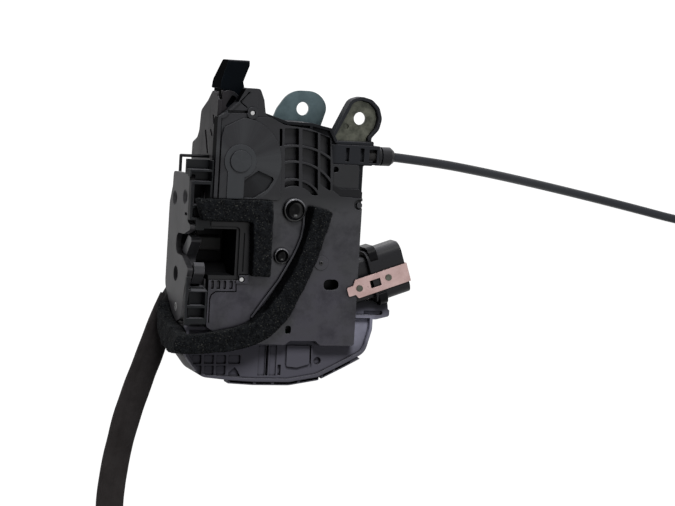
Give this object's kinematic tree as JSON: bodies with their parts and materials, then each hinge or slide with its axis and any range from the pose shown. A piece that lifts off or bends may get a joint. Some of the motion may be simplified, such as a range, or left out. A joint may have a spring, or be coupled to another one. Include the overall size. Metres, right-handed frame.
{
  "type": "door latch actuator",
  "caption": "Car door latch with claw, pawl, release levers and electric lock drive in a black moulded case, with a release cable and a felt wrapped lead.",
  "frame": {"origin": "middle of the closed striker at the outer face of the face plate", "axes": "+X forward in the car, away from the face plate; +Y up; +Z towards the inside of the door, which is up as the latch lies on its back"},
  "size_m": [0.4497, 0.3454, 0.057],
  "materials": {
    "black_plastic": "fine grained moulding",
    "gloss_black_plastic": "smooth moulding",
    "plated_steel": "dark zinc",
    "zinc_steel": "bluish zinc",
    "bracket_steel": "dull zinc",
    "hard_steel": "bright",
    "spring_steel": "drawn wire",
    "copper_clip": "pinkish plated strip",
    "soft_black": "soft",
    "foam": "open cell foam",
    "felt": "felt tape",
    "cable_jacket": "extruded jacket",
    "pale_plastic": "natural nylon",
    "board_green": "lacquered board",
    "contact_tin": "tinned"
  },
  "bodies": {
    "latch_body": {"front_cover": "black_plastic", "base_housing": "black_plastic", "latch_frame": "black_plastic", "mouth_pocket": "black_plastic", "cover_pegs": "pale_plastic", "face_plate": "plated_steel", "pivot_plate": "zinc_steel", "rear_bracket": "zinc_steel", "ear_plate": "bracket_steel", "striker_bumper": "soft_black", "claw_pin": "hard_steel", "claw_spring": "spring_steel", "pawl_pin": "hard_steel", "pawl_spring": "spring_steel", "outside_lever_pin": "hard_steel", "outside_lever_spring": "spring_steel", "return_wire": "spring_steel", "inside_lever_pin": "hard_steel", "lock_motor": "zinc_steel", "wheel_axle": "hard_steel", "lock_axle": "hard_steel", "circuit_board": "board_green", "lock_switch": "black_plastic", "connector_shroud": "black_plastic", "connector_collar": "gloss_black_plastic", "connector_pins": "contact_tin", "bracket_clip": "copper_clip", "clip_rivets": "copper_clip", "mouth_foam": "foam", "curved_foam": "foam", "cable_end_fitting": "black_plastic", "cable_ferrule": "black_plastic", "cable_conduit": "cable_jacket", "cable_coil": "cable_jacket", "cable_tail": "cable_jacket", "handle_sleeve": "black_plastic", "felt_lead": "felt", "lead_gland": "soft_black", "lead_connector": "black_plastic"},
    "claw_body": {"claw": "hard_steel", "claw_coating": "gloss_black_plastic"},
    "pawl_body": {"pawl": "hard_steel", "pawl_lifter": "gloss_black_plastic"},
    "outside_lever_body": {"outside_lever": "gloss_black_plastic"},
    "inside_lever_body": {"inside_lever": "zinc_steel"},
    "wheel_body": {"worm_wheel": "pale_plastic"},
    "worm_body": {"worm": "pale_plastic"},
    "lock_lever_body": {"lock_lever": "pale_plastic"},
    "cable_wire_body": {"cable_inner_wire": "spring_steel", "cable_nipple": "hard_steel"},
    "handle_wire_body": {"handle_wire": "spring_steel", "handle_nipple": "hard_steel"}
  },
  "joints": [
    {"name": "claw_turn", "type": "hinge", "parent": "latch_body", "child": "claw_body", "pos_m": [0.0066, -0.018, -0.004], "axis": [1, 0, 0], "range_deg": [-44, 0], "stiffness_Nm_per_rad": 0.03, "springref_deg": 28.65},
    {"name": "pawl_turn", "type": "hinge", "parent": "latch_body", "child": "pawl_body", "pos_m": [0.0066, -0.0372, -0.0006], "axis": [1, 0, 0], "range_deg": [-11, 0]},
    {"name": "outside_lever_turn", "type": "hinge", "parent": "latch_body", "child": "outside_lever_body", "pos_m": [0.025, 0.072, 0.005], "axis": [1, 0, 0], "range_deg": [-13, 0], "stiffness_Nm_per_rad": 0.05, "springref_deg": 17.19},
    {"name": "inside_lever_turn", "type": "hinge", "parent": "latch_body", "child": "inside_lever_body", "pos_m": [0.0556, -0.0038, -0.005], "axis": [0, 0, 1], "range_deg": [-11.5, 0], "stiffness_Nm_per_rad": 0.05, "springref_deg": 17.19},
    {"name": "cable_wire_slide", "type": "slide", "parent": "latch_body", "child": "cable_wire_body", "axis": [1, 0, 0], "range_m": [0, 0.01205]},
    {"name": "handle_wire_slide", "type": "slide", "parent": "latch_body", "child": "handle_wire_body", "axis": [0, -1, 0], "range_m": [0, 0.01205]},
    {"name": "wheel_turn", "type": "hinge", "parent": "latch_body", "child": "wheel_body", "pos_m": [0.0619, 0.0232, 0.004], "axis": [0, 0, 1], "range_deg": [0, 72]},
    {"name": "lock_lever_turn", "type": "hinge", "parent": "latch_body", "child": "lock_lever_body", "pos_m": [0.0275, 0.0504, 0.011], "axis": [0, 0, 1], "range_deg": [-24.05, 0]},
    {"name": "worm_turn", "type": "hinge", "parent": "latch_body", "child": "worm_body", "pos_m": [0.0875, 0.017, 0.004], "axis": [0, 1, 0], "range_deg": [0, 2885]}
  ],
  "couplings": [
    {"joint": "cable_wire_slide", "follows": "inside_lever_turn", "m_per_rad": -0.059787},
    {"joint": "handle_wire_slide", "follows": "inside_lever_turn", "m_per_rad": -0.059787},
    {"joint": "lock_lever_turn", "follows": "wheel_turn", "ratio": -0.33333},
    {"joint": "worm_turn", "follows": "wheel_turn", "ratio": 40}
  ]
}
